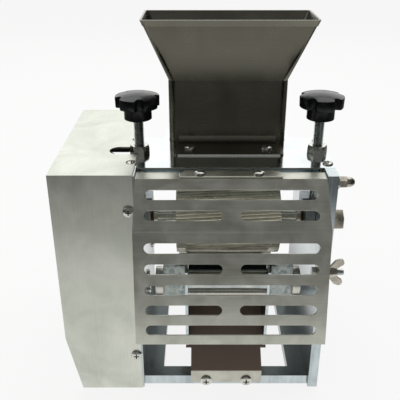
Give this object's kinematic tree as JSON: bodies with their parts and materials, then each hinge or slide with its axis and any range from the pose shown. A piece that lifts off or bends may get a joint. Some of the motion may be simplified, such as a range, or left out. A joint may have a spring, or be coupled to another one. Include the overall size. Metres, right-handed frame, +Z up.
{
  "type": "grain mill",
  "caption": "Two-roller grain mill with a hopper above, star screws that set the roller gap, a slotted swing-up guard, a discharge chute and a side drive casing.",
  "frame": {"origin": "centre of the overall box seen from above, on the surface the mill stands on", "axes": "+X to the right seen from the chute side, +Y to the back, +Z up"},
  "size_m": [0.2816, 0.254, 0.373],
  "materials": {
    "steel_plate": "ground plate, satin",
    "polished_plate": "polished plate",
    "hopper_sheet": "brushed sheet, dark warm grey",
    "block_steel": "milled",
    "bronze": "turned bronze",
    "roller_steel": "fluted, machined",
    "ground_steel": "ground bar",
    "zinc_rod": "zinc plated",
    "zinc_screw": "zinc plated, bright",
    "black_plastic": "moulded, glossy",
    "gear_steel": "hobbed",
    "cast_aluminium": "cast",
    "motor_paint": "painted",
    "casing_sheet": "brushed stainless sheet",
    "guard_sheet": "brushed stainless sheet",
    "nickel_nut": "nickel plated",
    "galvanised": "galvanised with spangle",
    "spring_steel": "blued spring steel",
    "chute_steel": "sheet that reflects its dark surroundings"
  },
  "bodies": {
    "frame": {"left_cheek": "steel_plate", "right_cheek": "steel_plate", "base_plate": "steel_plate", "base_screws": "zinc_screw", "top_plate": "polished_plate", "top_plate_screws": "zinc_screw", "hopper": "hopper_sheet", "hopper_screws": "zinc_screw", "lock_nuts": "zinc_screw", "bearing_housings": "block_steel", "housing_screws": "zinc_screw", "gearbox": "cast_aluminium", "gearbox_bolts": "zinc_screw", "motor": "motor_paint", "motor_cap": "black_plastic", "casing": "casing_sheet", "casing_panel": "casing_sheet", "casing_screws": "zinc_screw", "mains_inlet": "black_plastic", "switch_frame": "black_plastic", "hinge_pins": "zinc_rod", "acorn_nut": "nickel_nut", "stop_bolt": "nickel_nut", "scraper_bar": "ground_steel", "scraper_collars": "ground_steel", "scraper_blocks": "galvanised", "scraper_blade": "spring_steel", "chute_plates": "steel_plate", "chute_sheet": "chute_steel", "chute_screws": "zinc_screw", "chute_rod": "ground_steel"},
    "roller_carriage": {"left_block": "block_steel", "right_block": "block_steel", "block_bushes": "bronze"},
    "front_roller_set": {"front_roller": "roller_steel", "front_shaft": "ground_steel"},
    "left_star_screw": {"left_screw": "zinc_rod", "left_knob": "black_plastic"},
    "right_star_screw": {"right_screw": "zinc_rod", "right_knob": "black_plastic"},
    "rear_roller_set": {"rear_roller": "roller_steel", "rear_shaft": "ground_steel", "roller_gear": "gear_steel"},
    "drive_pinion": {"pinion": "gear_steel"},
    "guard_set": {"guard": "guard_sheet", "hinge_bar": "steel_plate", "clamp_strip": "guard_sheet", "clamp_screws": "zinc_screw", "guard_stud": "zinc_rod"},
    "wing_nut_set": {"wing_nut": "nickel_nut"},
    "rocker": {"switch_rocker": "black_plastic"}
  },
  "joints": [
    {"name": "roller_lift", "type": "slide", "parent": "frame", "child": "roller_carriage", "axis": [0, 0, 1], "range_m": [-0.001, 0.004]},
    {"name": "front_roller_spin", "type": "hinge", "parent": "roller_carriage", "child": "front_roller_set", "pos_m": [0.0262, -0.01, 0.177], "axis": [1, 0, 0], "continuous": true},
    {"name": "left_screw_turn", "type": "hinge", "parent": "roller_carriage", "child": "left_star_screw", "pos_m": [-0.0618, -0.01, 0.29], "axis": [0, 0, 1], "range_deg": [-240, 960]},
    {"name": "right_screw_turn", "type": "hinge", "parent": "roller_carriage", "child": "right_star_screw", "pos_m": [0.1142, -0.01, 0.29], "axis": [0, 0, 1], "range_deg": [-240, 960]},
    {"name": "rear_roller_spin", "type": "hinge", "parent": "frame", "child": "rear_roller_set", "pos_m": [0.0262, 0.05229, 0.13174], "axis": [1, 0, 0], "continuous": true},
    {"name": "pinion_spin", "type": "hinge", "parent": "frame", "child": "drive_pinion", "pos_m": [-0.0768, 0.05229, 0.08174], "axis": [1, 0, 0], "continuous": true},
    {"name": "guard_swing", "type": "hinge", "parent": "frame", "child": "guard_set", "pos_m": [0.0262, -0.0635, 0.239], "axis": [-1, 0, 0], "range_deg": [0, 100]},
    {"name": "wing_nut_turn", "type": "hinge", "parent": "guard_set", "child": "wing_nut_set", "pos_m": [0.1282, -0.066, 0.143], "axis": [1, 0, 0], "range_deg": [-360, 0]},
    {"name": "rocker_tilt", "type": "hinge", "parent": "frame", "child": "rocker", "pos_m": [-0.1063, 0.121, 0.092], "axis": [0, 0, 1], "range_deg": [0, 16]}
  ],
  "couplings": [
    {"joint": "left_screw_turn", "follows": "roller_lift", "rad_per_m": 4188.8},
    {"joint": "right_screw_turn", "follows": "roller_lift", "rad_per_m": 4188.8},
    {"joint": "pinion_spin", "follows": "rear_roller_spin", "ratio": -2.5714}
  ]
}
